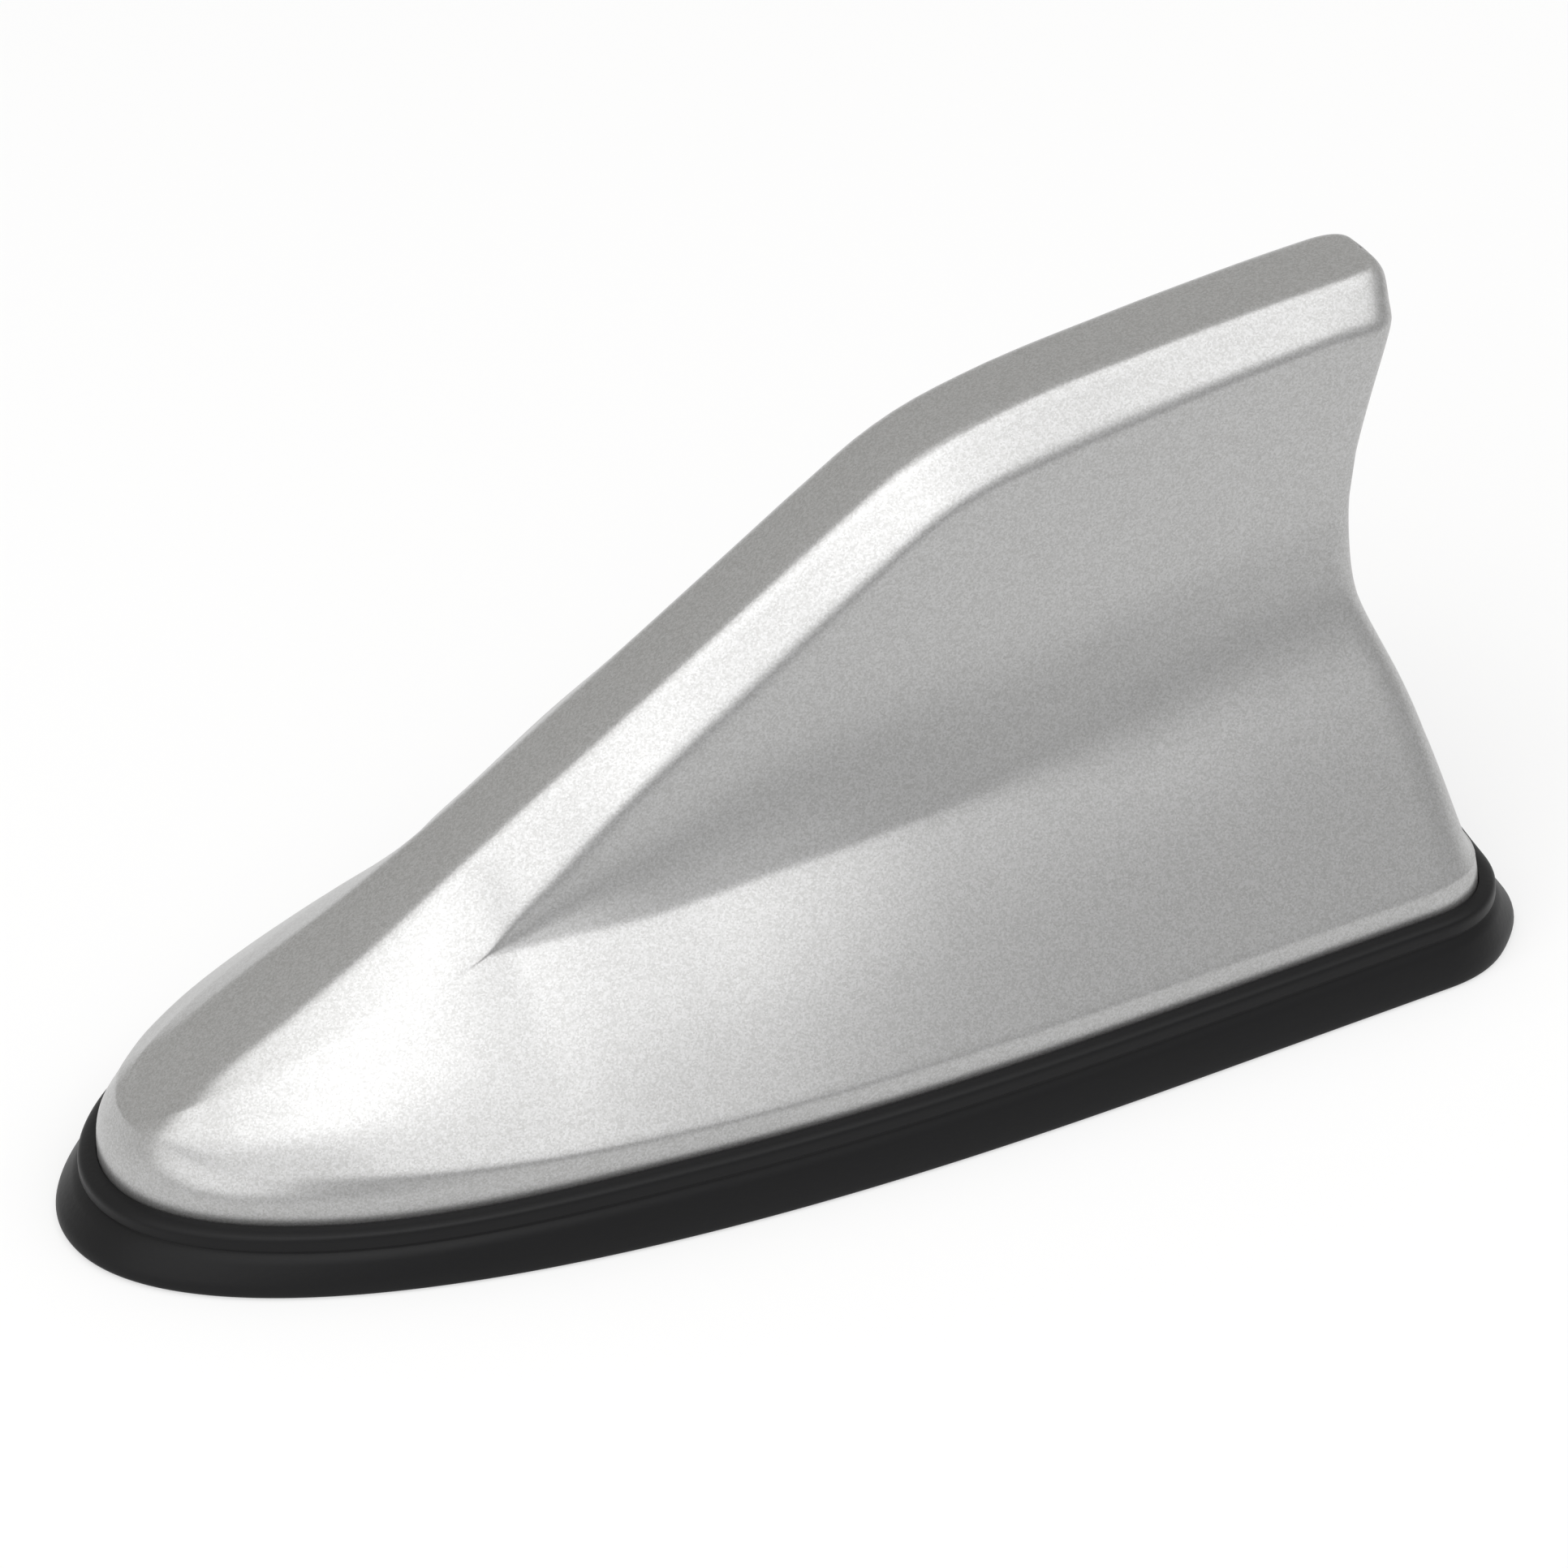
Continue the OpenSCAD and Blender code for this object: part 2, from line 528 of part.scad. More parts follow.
can_x = board_x - board_l / 2 + 2 * post_d + can_l / 2 + 3;
module shield_can() color("#c9ccd0") translate([can_x, 0, board_top]) difference() {
    translate([-can_l / 2, -can_w / 2, 0]) cube([can_l, can_w, can_h]);
    translate([-can_l / 2 + can_t, -can_w / 2 + can_t, -1])
        cube([can_l - 2 * can_t, can_w - 2 * can_t, can_h - can_t + 1]);
    for (ix = [-1, 0, 1], iy = [-1, 1])
        translate([ix * can_l / 4, iy * can_w / 4, can_h - 1]) cylinder(d = 2, h = 2);
}

module amplifier_chip() color("#17181a") translate([can_x, 0, board_top]) {
    body = 5;
    leads = 4;
    difference() {
        translate([-body / 2, -body / 2, 0.15]) cube([body, body, 1.1]);
        translate([-body / 2 + 1, -body / 2 + 1, 1.05]) cylinder(d = 0.7, h = 1);
    }
    for (side = [-1, 1], i = [0:leads - 1])
        translate([(i - (leads - 1) / 2) * 1.27 - 0.2, side * (body / 2 + 0.35) - 0.55, 0])
            cube([0.4, 1.1, 0.3]);
}

choke_x = can_x + can_l / 2 + 6;
module choke_coil() color("#3a3d40") translate([choke_x, 0, board_top]) rotate_extrude() polygon([
    [0, 0], [3.4, 0], [3.4, 0.9], [2.6, 1.2], [2.6, 3.2], [3.4, 3.5], [3.4, 4.4], [0, 4.4]
]);

capacitor_x = choke_x + 9;
module capacitor_can() color("#b4b8bd") translate([capacitor_x, 0, board_top]) rotate_extrude()
    polygon([
        [0, 0], [3.1, 0], [3.1, 0.8], [2.5, 1], [2.5, 1.6], [2.3, 1.9], [2.5, 2.2], [2.5, 5.3],
        [2.2, 5.6], [0, 5.6]
    ]);

module lead_socket() color("#d8cfa8") {
    body = [7, 6.4, 6];
    mouth = 3.4;
    translate([board_x - board_l / 2 + 1.2, 0, board_top]) difference() {
        translate([0, -body[1] / 2, 0]) cube(body);
        translate([-1, 0, body[2] / 2]) rotate([0, 90, 0]) cylinder(d = mouth, h = 6);
        for (sy = [-1, 1]) translate([body[0] - 1.5, sy * body[1] / 2, -1]) cylinder(d = 1.2, h = 8);
    }
}

module coil_former() color("#e6e4dc") translate([coil_x, 0, board_top]) difference() {
    rotate_extrude() polygon([
        [former_d / 4, 0], [former_flange_r, 0], [former_flange_r, former_flange_t],
        [former_d / 2, former_flange_t], [former_d / 2, former_top - board_top],
        [former_d / 4, former_top - board_top]
    ]);
    translate([coil_r, 0, -1]) cylinder(d = wire_d + 0.3, h = former_flange_t + 2);
}

// One helix of round wire with a straight leg down to the board
module antenna_coil() color("#b56a3a") {
    sides = 6;
    steps = coil_turns * turn_steps;
    pitch = (coil_end - coil_start) / coil_turns;
    lead = atan(pitch / (2 * PI * coil_r));
    points = [for (i = [0:steps]) let (a = 360 * i / turn_steps) for (k = [0:sides - 1])
        let (b = 360 * k / sides, r = coil_r + wire_d / 2 * cos(b), h = wire_d / 2 * sin(b))
        [r * cos(a) + h * sin(lead) * sin(a), r * sin(a) - h * sin(lead) * cos(a),
         coil_start + pitch * i / turn_steps + h * cos(lead)]];
    translate([coil_x, 0, 0]) union() {
        polyhedron(
            points = points,
            faces = [
                [for (k = [0:sides - 1]) k],
                for (i = [0:steps - 1], k = [0:sides - 1])
                    let (m = (k + 1) % sides, a = i * sides, b = a + sides)
                    each patch(a + m, a + k, b + k, b + m),
                [for (k = [sides - 1:-1:0]) steps * sides + k]
            ]
        );
        translate([coil_r, 0, board_top]) cylinder(d = wire_d, h = coil_start - board_top, $fn = 16);
    }
}

module top_buffer() color("#4a4c50") translate([coil_x, 0, former_top]) rotate_extrude() polygon([
    [0, 0], [buffer_r, 0], [buffer_r, buffer_h - 0.8], [buffer_r - 0.8, buffer_h], [0, buffer_h]
]);

// Pan head screw with a cross recess. The head's flat lies at z = 0 and the shank goes down.
module screw(d, l, head_d, head_h) {
    slot = [0.5 * head_d, 0.16 * head_d, 0.45 * head_h];
    difference() {
        rotate_extrude() polygon([
            [0, -l], [0.3 * d, -l], [0.5 * d, -l + 0.4 * d], [0.5 * d, 0], [head_d / 2, 0],
            [head_d / 2, 0.5 * head_h], [0.36 * head_d, head_h], [0, head_h]
        ]);
        for (a = [0, 90]) rotate(a)
            translate([-slot[0] / 2, -slot[1] / 2, head_h - slot[2]]) cube(slot + [0, 0, 1]);
    }
}
module cover_screw(i) color("#8f9296")
    translate([cover_screws[i][0], cover_screws[i][1], counterbore_z]) rotate([180, 0, 0])
        screw(cover_screw_d, cover_screw_l, cover_head_d, cover_head_h);
module board_screw(i) color("#c2a14d")
    translate([board_screws[i][0], board_screws[i][1], board_top])
        screw(board_screw_d, board_screw_l, board_head_d, board_head_h);

fin_cover();
seal_skirt();
base_plate();
adhesive_pad();
cable_grommet();
amplifier_board();
shield_can();
amplifier_chip();
choke_coil();
capacitor_can();
lead_socket();
coil_former();
antenna_coil();
top_buffer();
cover_screw(0);  // cover_screw_1
cover_screw(1);  // cover_screw_2
cover_screw(2);  // cover_screw_3
cover_screw(3);  // cover_screw_4
board_screw(0);  // board_screw_1
board_screw(1);  // board_screw_2
board_screw(2);  // board_screw_3
board_screw(3);  // board_screw_4
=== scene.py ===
import json

import bpy
import numpy as np
from mathutils import Matrix, Vector


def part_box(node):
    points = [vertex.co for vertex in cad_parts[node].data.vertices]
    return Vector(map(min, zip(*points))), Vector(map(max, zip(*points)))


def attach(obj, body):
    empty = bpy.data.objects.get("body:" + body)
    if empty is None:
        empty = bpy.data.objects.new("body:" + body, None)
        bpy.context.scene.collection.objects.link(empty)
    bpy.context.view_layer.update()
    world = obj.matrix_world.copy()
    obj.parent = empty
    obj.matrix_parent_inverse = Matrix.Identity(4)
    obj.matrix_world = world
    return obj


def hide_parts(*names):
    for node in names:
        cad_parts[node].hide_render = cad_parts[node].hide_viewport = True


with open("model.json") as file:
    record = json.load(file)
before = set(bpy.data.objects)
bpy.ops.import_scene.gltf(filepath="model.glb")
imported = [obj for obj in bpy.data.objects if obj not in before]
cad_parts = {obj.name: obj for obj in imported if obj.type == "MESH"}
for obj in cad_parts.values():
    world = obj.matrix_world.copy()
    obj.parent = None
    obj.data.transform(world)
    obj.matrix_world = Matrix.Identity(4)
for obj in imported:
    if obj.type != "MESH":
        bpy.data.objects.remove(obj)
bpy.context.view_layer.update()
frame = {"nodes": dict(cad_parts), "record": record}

# Lengths in the form functions are millimetres; surfaces are scaled to metres when they are made.
MM = 0.001
cover_low, cover_high = (np.array(corner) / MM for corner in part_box("fin_cover"))
skirt_low, skirt_high = (np.array(corner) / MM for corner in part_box("seal_skirt"))
plate_low = np.array(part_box("base_plate")[0]) / MM

# Sizes of the cover and the skirt, as in the part's source
COVER_L = cover_high[0] - cover_low[0]
COVER_W = cover_high[1] - cover_low[1]
FIN_H = cover_high[2]
COVER_WALL = 2.2
SKIRT_SIDE = (skirt_high[1] - skirt_low[1] - COVER_W) / 2
SKIRT_END = (skirt_high[0] - skirt_low[0] - COVER_L) / 2
SKIRT_H = 7.8
GROOVE_D = 1.35
WEB_T = 1.1
WEB_RISE = 0.9
SEAL_GAP = 0.05
FOOT_W = 2.6
# The rubber's lip: how far it stands out, its lower edge, and how it sinks round the nose
LIP = 1.8
LIP_LOW = SKIRT_H - 2
NOSE_DROP = 1.0
NOSE_DROP_FROM = -22
NOSE_DROP_OVER = 36
PLATE_Z = plate_low[2]
PLATE_TOP = PLATE_Z + 2.8
BOSS_D = 6.4
BOSS_HOLE_D = 3.0
BOSS_IN_WALL = 0.6
BOSS_AXIS = 1e-4
BOSS_HOLE_TOP = PLATE_Z + 1.5 + 9 + 1.7
COVER_SCREWS = ((-42, -14), (-42, 14), (58, -20), (58, 20))

# The form lines are drawn at this size and then stretched to the cover's.
FORM_L, FORM_W, FORM_H, FORM_SEAM = 150, 64, 70, 7.8
NOSE_X = -FORM_L / 2
SHOULDER_X = 35.4
SIDE_END = 64
NOSE_FULL = (2.52, 2.05)
# The nose sections fan out from points behind the tip: from where on, and how far at the tip
FAN_FROM = -20
FAN_PULL = 9
NOSE_STRIP_REACH = 6.1
ROOF_CROWN = 0.2
STRETCH = np.array([COVER_L / FORM_L, COVER_W / FORM_W, (FIN_H - SKIRT_H) / (FORM_H - FORM_SEAM)])

# Roof line: X, height
ROOF_LINE = [
    [-77, 11], [-72.2, 14], [-70, 15.2], [-64, 18.7], [-56, 22.6], [-47, 26.9], [-38, 31.9],
    [-25, 39.5], [-10, 48.3], [2, 55.4], [10, 60.1], [16, 63.4], [21, 65.3],
    [28, 66.85], [45, 68.6], [60, 69.5], [75, 69.94],
]
# Half width of the roof strip: X, half width
ROOF_STRIP = [[-77, 4.9], [-60, 4.9], [-45, 4.3], [0, 4.2], [75, 4.4]]
# Lower edge of the shoulder: X, half width, height
SHOULDER_LINE = [
    [-52, 9.55, 22.5], [-48, 9.75, 23.6], [-44, 10.1, 24.8], [-40, 10.4, 25.8],
    [-37, 10.5, 26.45], [-35.5, 10.2, 27.3], [-32.6, 10, 29.4], [-28, 9.8, 32.2],
    [-18.6, 9.4, 38.4], [-10.7, 9.1, 42.8], [-3, 9, 47.2], [8.5, 9, 54.2], [14, 9, 57.4],
    [19, 9, 60], [24, 9, 61.5], [30, 9, 62.4], [43, 9, 63.9], [58, 9, 65.2],
    [66, 9, 65.6], [70, 9, 65.3], [74, 9, 64.5],
]
# Crease where the side panel meets the flared body: X, half width, height
CREASE_LINE = [
    [-52, 12.2, 20.4], [-48, 12.3, 21.5], [-44, 12.1, 23.1], [-40, 11.5, 24.8],
    [-37, 10.7, 26.15], [-34.5, 11, 26.2], [-30.6, 11.8, 26.6], [-26.8, 12.6, 26.85], [-21.2, 13.6, 27],
    [-14, 14.4, 27.5], [-7, 15.2, 28.4], [0.3, 16, 29.1], [7.8, 16.4, 29.8],
    [15.5, 16.4, 30.3], [23.5, 15.9, 31.2], [35.7, 14.9, 32.6], [50, 13.8, 34.6],
    [68, 13.2, 36],
]
# Upper edge of the flange above the rubber: X, height, how far it lies in from the seam
FLANGE_LINE = [
    [-77, 13.5, 2.3], [-73.5, 13.4, 2.1], [-70, 12.1, 1.8], [-66, 11.6, 1.5], [-60, 11.5, 1.2],
    [-45, 11.1, 0.6], [-20, 10.7, 0.4],
    [35, 10.6, 0.4], [77, 10.6, 0.4],
]
# Rear end of the side, by control point of the section: number, X
RIM_LINE = [
    [0, 63.4], [3, 63.5], [5, 64.4], [7, 62.3], [8, 62.9], [9, 64.3], [10, 68.8], [11, 69.1],
    [12, 69.4], [13, 70], [14, 69.4], [16, 70.3],
]
# Size of the rear corner, and how far the rear wall bows out behind it
RIM_TURN = [
    [0, 7.8], [3, 7.4], [5, 4.6], [7, 3.4], [9, 3], [10, 3.6], [11, 4], [13, 4], [14, 3.8], [16, 2.6],
]
RIM_BOW = [[0, 3.8], [3, 3.7], [5, 2.5], [7, 1.4], [9, 1], [11, 0.7], [14, 0.3], [16, 0.2]]
# The rear end of the roof strip: the control point it folds down from, how far out and down
TOP_ROWS = 13
TOP_OUT = 0.6
TOP_DROP = 0.4
LEAST_LEG = 0.6
# Where a form grows in along X: its start, and over what length
LINES_IN = (-52, 12)
SHARES_IN = (-72, 34)
BOW_IN = (-70, 25)
HOLDS_IN = (-43, 6.5)
CREASE_SOFT_IN = (8, 50)
INNER_SIDE_IN = (-72, 20)
# The plain flank of the nose: how far it bows at the tip and how much more behind it, up to which
# breadth it bows less, and the shares of the way up at which its two middle key points lie, at the
# tip and how much more behind it
NOSE_BOW = (3.9, 1.9)
BOW_FULL = 6
NOSE_LOW = (0.42, 0.18)
NOSE_HIGH = (0.66, 0.06)
# Distance at which the points beside a key point hold its edge: a small one makes it sharp
FLANGE_HOLD = 0.9
CREASE_HOLD = 1
CREASE_FADE = 9
SHOULDER_HOLD = 1.9
ROOF_HOLD = 1.6
NOSE_CREASE_SOFT = 3
NOSE_SHOULDER_SOFT = 2.1
# Flanks: how far the body bulges, from which height on fully, how hollow the side panel is, by
# its length, where along it, and where the flange starts to lean in, by its height
BODY_BULGE = 0.55
BULGE_FULL = 6
PANEL_HOLLOW = 0.075
PANEL_MIDDLE = 0.45
FLANGE_LEAN = 0.35
# Control points at the six key points, and how far inside each the wall's inner key point
# lies, by the wall's thickness: towards the centre line, down
KEY_STEPS = np.array([0, 3, 7, 11, 14, 16])
INNER_SIDE = np.array([[0.95, 0], [1, 0.35], [0.95, 0.5], [0.75, 0.55], [0.4, 1.1], [0, 1.2]])
INNER_NOSE = np.array([[0.8, 0], [1, 0.4], [0.9, 0.75], [0.9, 0.85], [1, 0.95], [0, 1.2]])
# How much smaller the corner is inside, by the wall's thickness
INNER_CORNER = 0.85

# How finely the surfaces are sampled, and the side's share at the section for its last tangent
NOSE_ROWS = 96
SIDE_ROWS = 60
TURN_ROWS = 20
WALL_ROWS = 16
LEVELS_PER_STEP = 9
LAST_SHARE = 1 - 1 / 15
CORNER_STEPS = 6
BOSS_SEGMENTS = 64


def ease(t):
    """0 below 0, 1 above 1, and 3t^2 - 2t^3 between them."""
    c = np.clip(t, 0, 1)
    return c * c * (3 - 2 * c)


def mix(a, b, t):
    return a + (b - a) * t


def grown(x, reach):
    """Share of a form at X, by its start and over what length it grows in."""
    return ease((x - reach[0]) / reach[1])


def along(line, x, column=1):
    """Smooth curve through the knots of a form line: a cubic from knot to knot, whose slope at a
    knot is the two neighbouring chords' mean, each weighted by the other chord's length."""
    table = np.array(line, float)
    knots, values = table[:, 0], table[:, column]
    step = np.diff(knots)
    chord = np.diff(values) / step
    middle = (chord[:-1] * step[1:] + chord[1:] * step[:-1]) / (step[1:] + step[:-1])
    slope = np.concatenate([chord[:1], middle, chord[-1:]])
    i = np.clip(np.searchsorted(knots, x, side="right") - 1, 0, len(knots) - 2)
    t = np.clip((x - knots[i]) / step[i], 0, 1)
    return (
        (2 * t**3 - 3 * t**2 + 1) * values[i]
        + (t**3 - 2 * t**2 + t) * step[i] * slope[i]
        + (3 * t**2 - 2 * t**3) * values[i + 1]
        + (t**3 - t**2) * step[i] * slope[i + 1]
    )


def straight(line, v):
    """Straight lines through the knots of a short table."""
    table = np.array(line, float)
    return np.interp(v, table[:, 0], table[:, 1])


def length_of(v):
    return np.linalg.norm(v, axis=-1, keepdims=True)


def towards(a, b, distance):
    """Points at a distance from a towards b, at most just under half way."""
    way = b - a
    n = length_of(way)
    return a + way / n * np.minimum(np.reshape(distance, (-1, 1)), 0.45 * n)


def bulged(a, b, part, height):
    """Points part of the way from a to b, lifted square to that line."""
    way = b - a
    square = np.stack([way[:, 1], -way[:, 0]], -1) / length_of(way)
    return a + way * part + square * np.reshape(height, (-1, 1))


def side_x(v, t):
    """X of control point v in a side section: it runs from the widest place, t = 0, to the rear
    corner, t = 1, and bends there towards the rim line by the square of t."""
    return SHOULDER_X + (SIDE_END - SHOULDER_X) * t + (straight(RIM_LINE, v) - SIDE_END) * t * t


def nose_feet(count):
    """Plan of the nose: a superellipse from the tip to the widest place, by equal angles."""
    angle = np.linspace(0, np.pi / 2, count + 1)
    x = SHOULDER_X - (SHOULDER_X - NOSE_X) * np.abs(np.cos(angle)) ** (2 / NOSE_FULL[0])
    y = FORM_W / 2 * np.sin(angle) ** (2 / NOSE_FULL[1])
    x[-1] = SHOULDER_X
    return np.stack([x, y], -1)


def fan_of(feet):
    """Where each section's fan is centred, and the way from there to its foot."""
    pull = FAN_PULL * np.maximum(0, (FAN_FROM - feet[:, 0]) / (FAN_FROM - NOSE_X)) ** 2
    centre = feet[:, 0] + pull
    way = np.stack([feet[:, 0] - centre, -feet[:, 1]], -1)
    way[feet[:, 1] < 1e-6] = (-1, 0)
    return centre, way / length_of(way)


def section_keys(feet, t):
    """Key points of each section as (distance from the centre line, height): foot, flange,
    crease, shoulder, roof edge and roof middle. They follow the form lines at the section's X,
    and blend at the nose into a plain bowed flank."""
    on_side = t > 0
    centre, way = fan_of(feet)
    x1, x2, x4, x5 = (np.where(on_side, side_x(v, t), feet[:, 0]) for v in KEY_STEPS[1:5])
    x6 = np.where(on_side, side_x(KEY_STEPS[5], t), centre)
    reach = np.hypot(feet[:, 0] - centre, feet[:, 1])
    s1 = reach - along(FLANGE_LINE, x1, 2)
    z1 = along(FLANGE_LINE, x1)
    s5 = 1 / np.hypot(way[:, 1] / along(ROOF_STRIP, x5), way[:, 0] / NOSE_STRIP_REACH)
    z5 = along(ROOF_LINE, np.where(on_side, x5, centre + way[:, 0] * s5))
    z6 = along(ROOF_LINE, x6) + ROOF_CROWN
    blend = np.where(on_side, 1, grown(feet[:, 0], LINES_IN))
    out = grown(feet[:, 0], SHARES_IN)
    bow = (NOSE_BOW[0] + NOSE_BOW[1] * grown(feet[:, 0], BOW_IN)) * ease((s1 - s5) / BOW_FULL)
    low, high = (tip + more * out for tip, more in (NOSE_LOW, NOSE_HIGH))
    foot_z = np.full_like(reach, FORM_SEAM - GROOVE_D / STRETCH[2])

    def flank(part, line, x):
        s = mix(s1, s5, part)
        z = mix(z1, z5, part) + bow * part * (1 - part)
        return mix(s, along(line, x), blend), mix(z, along(line, x, 2), blend)

    pairs = [
        (reach, foot_z), (s1, z1), flank(low, CREASE_LINE, x2), flank(high, SHOULDER_LINE, x4),
        (s5, z5), (np.zeros_like(reach), z6),
    ]
    return np.stack([np.stack(pair, -1) for pair in pairs], 1)


def control_polygons(keys, feet, t):
    """Seventeen control points a section. Each key point is held by a point on either side of it,
    close by where the edge is sharp and further off where it is soft."""
    blend = np.where(t > 0, 1, grown(feet[:, 0], HOLDS_IN))
    x2 = np.where(t > 0, side_x(7, t), feet[:, 0])
    d1 = FLANGE_HOLD
    d2 = CREASE_HOLD + CREASE_FADE * grown(x2, CREASE_SOFT_IN) + NOSE_CREASE_SOFT * (1 - blend)
    d4 = SHOULDER_HOLD + NOSE_SHOULDER_SOFT * (1 - blend)
    d5 = ROOF_HOLD
    k0, k1, k2, k3, k4, k5 = (keys[:, n] for n in range(6))
    wall = np.stack([k0[:, 0], mix(FORM_SEAM, k1[:, 1], FLANGE_LEAN)], -1)
    bulge = BODY_BULGE * np.minimum(1, length_of(k2 - k1)[:, 0] / BULGE_FULL)
    flank = bulged(k1, k2, 0.5, bulge)
    panel = bulged(k2, k3, PANEL_MIDDLE, -PANEL_HOLLOW * length_of(k3 - k2)[:, 0] * blend)
    return np.stack([
        k0, wall, towards(k1, wall, d1), k1, towards(k1, flank, d1), flank,
        towards(k2, flank, d2), k2, towards(k2, panel, d2), panel,
        towards(k3, panel, d4), k3, towards(k3, k4, d4),
        towards(k4, k3, d5), k4, towards(k4, k5, d5), k5,
    ], 1)


def in_space(flat, steps, feet, t, back=0.0):
    """Sections drawn as (distance, height) set up in space: square to the centre line along the
    side, and fanned round the nose."""
    centre, way = fan_of(feet)
    s, z = flat[..., 0], flat[..., 1]
    x_side = side_x(steps[None, :], t[:, None]) - back * t[:, None] ** 2
    beside = np.stack([x_side, -s, z], -1)
    fanned = np.stack([centre[:, None] + way[:, :1] * s, way[:, 1:] * s, z], -1)
    return np.where((t > 0)[:, None, None], beside, fanned)


def spline(q, v):
    """Cubic B-spline along each section polygon. A ghost point before the first makes it start
    there, and one mirrored across the centre line makes it cross that line square."""
    before = 2 * q[:, :1] - q[:, 1:2]
    after = q[:, -2:-1] * np.array([1, -1, 1])
    p = np.concatenate([before, q, after], 1)
    i = np.clip(np.floor(v).astype(int), 0, q.shape[1] - 2)
    t = (v - i)[None, :, None]
    return (
        (1 - t) ** 3 * p[:, i] + (3 * t**3 - 6 * t**2 + 4) * p[:, i + 1]
        + (3 * t**2 + 3 * t - 3 * t**3 + 1) * p[:, i + 2] + t**3 * p[:, i + 3]
    ) / 6


def with_tail(rows, before, v, cut=0.0):
    """Adds the rows round the tail. The side runs on along its last tangent to a corner point,
    turns round it as a quadratic Bezier, and crosses to the centre line, bowed out: the share t
    of the way gives t + t^2 (1 - t) of the bow, so that it meets the centre line square. Points
    past the roof edge fold down over the rear edge instead."""
    side = rows[-1]
    leg = np.maximum(LEAST_LEG, straight(RIM_TURN, v) - cut)[:, None]
    corner = side + (side - before) / length_of(side - before) * leg
    fold = np.clip((v - TOP_ROWS) / (v[-1] - TOP_ROWS), 0, 1)
    wall = np.stack([
        mix(corner[:, 0] + straight(RIM_BOW, v), corner[-1, 0] + TOP_OUT, fold),
        np.zeros(len(v)),
        mix(corner[:, 2], corner[-1, 2] - TOP_DROP, fold),
    ], -1)
    turned = mix(corner, wall, np.minimum(0.5, leg / np.maximum(0.01, length_of(wall - corner))))
    t = (np.arange(1, TURN_ROWS + 1) / TURN_ROWS)[:, None, None]
    turn = (1 - t) ** 2 * side + 2 * t * (1 - t) * corner + t * t * turned
    t = (np.arange(1, WALL_ROWS + 1) / WALL_ROWS)[:, None, None]
    across = mix(turned, wall, t)
    across[..., 0] += (wall - turned)[:, 0] * (t * t * (1 - t))[..., 0]
    grid = np.concatenate([rows, turn, across])
    return grid * STRETCH + np.array([0, 0, SKIRT_H - FORM_SEAM * STRETCH[2]])


def rows_plan():
    """Feet and side shares of all sections, and of the one that gives the side's last tangent."""
    widest = np.tile([[SHOULDER_X, FORM_W / 2]], (SIDE_ROWS + 1, 1))
    feet = np.concatenate([nose_feet(NOSE_ROWS), widest])
    share = np.arange(1, SIDE_ROWS + 1) / SIDE_ROWS
    t = np.concatenate([np.zeros(NOSE_ROWS + 1), share, [LAST_SHARE]])
    return feet, t


def outer_skin():
    """Grid of the cover's outer surface, from the nose to the middle of the tail and from the
    foot in the skirt's groove up to the centre line."""
    feet, t = rows_plan()
    v = np.linspace(0, 16, 16 * LEVELS_PER_STEP + 1)
    q = control_polygons(section_keys(feet, t), feet, t)
    grid = spline(in_space(q, np.arange(17.0), feet, t), v)
    return with_tail(grid[:-1], grid[-1], v)


def inner_skin():
    """Grid of the cover's inner surface: straight lines through the key points set in by the
    wall."""
    feet, t = rows_plan()
    share = np.where(t > 0, 1, grown(feet[:, 0], INNER_SIDE_IN))[:, None, None]
    keys = section_keys(feet, t) - COVER_WALL * mix(INNER_NOSE, INNER_SIDE, share)
    keys[..., 0] = np.maximum(0, keys[..., 0])
    back = np.maximum(0, COVER_WALL + LEAST_LEG - straight(RIM_TURN, KEY_STEPS))
    grid = in_space(keys, KEY_STEPS.astype(float), feet, t, back)
    return with_tail(grid[:-1], grid[-1], KEY_STEPS, INNER_CORNER * COVER_WALL)


def ring_of(grid, level):
    """Closed ring round the whole part at one level of a half grid."""
    near = grid[:, level]
    return np.concatenate([near, near[-2:0:-1] * np.array([1, -1, 1])])


def mesh_object(name, points, faces, material, sharp=None):
    """A new piece of the object, from points in millimetres."""
    mesh = bpy.data.meshes.new(name)
    mesh.from_pydata(np.asarray(points) * MM, [], [list(map(int, f)) for f in faces])
    mesh.validate()
    mesh.shade_smooth()
    if sharp is not None:
        mesh.set_sharp_from_angle(angle=np.radians(sharp))
    mesh.materials.append(material)
    piece = bpy.data.objects.new(name, mesh)
    bpy.context.scene.collection.objects.link(piece)
    return piece


def strip(a, b):
    """Four-sided faces between two closed rings of point numbers, seen from outside."""
    return np.stack([a, np.roll(a, -1), np.roll(b, -1), b], -1)


def shell_piece(material):
    """The fin cover: outer and inner skin, each closed along its centre line, joined round the
    foot by a flat edge."""
    points, faces, feet = [], [], []
    start = 0
    for grid, inward in ((outer_skin(), False), (inner_skin(), True)):
        half, levels = grid.shape[0], grid.shape[1] - 1
        around = 2 * half - 2
        rings = [start + j * around + np.arange(around) for j in range(levels)]
        fold = np.arange(around)
        middle = start + levels * around + np.where(fold < half, fold, around - fold)
        skin = np.concatenate([strip(a, b) for a, b in zip(rings, rings[1:] + [middle])])
        points += [ring_of(grid, j) for j in range(levels)] + [grid[:, levels]]
        faces.append(skin[:, ::-1] if inward else skin)
        feet.append(rings[0])
        start += levels * around + half
    faces.append(strip(feet[1], feet[0]))
    return mesh_object("cover_shell", np.concatenate(points), np.concatenate(faces), material, 38)


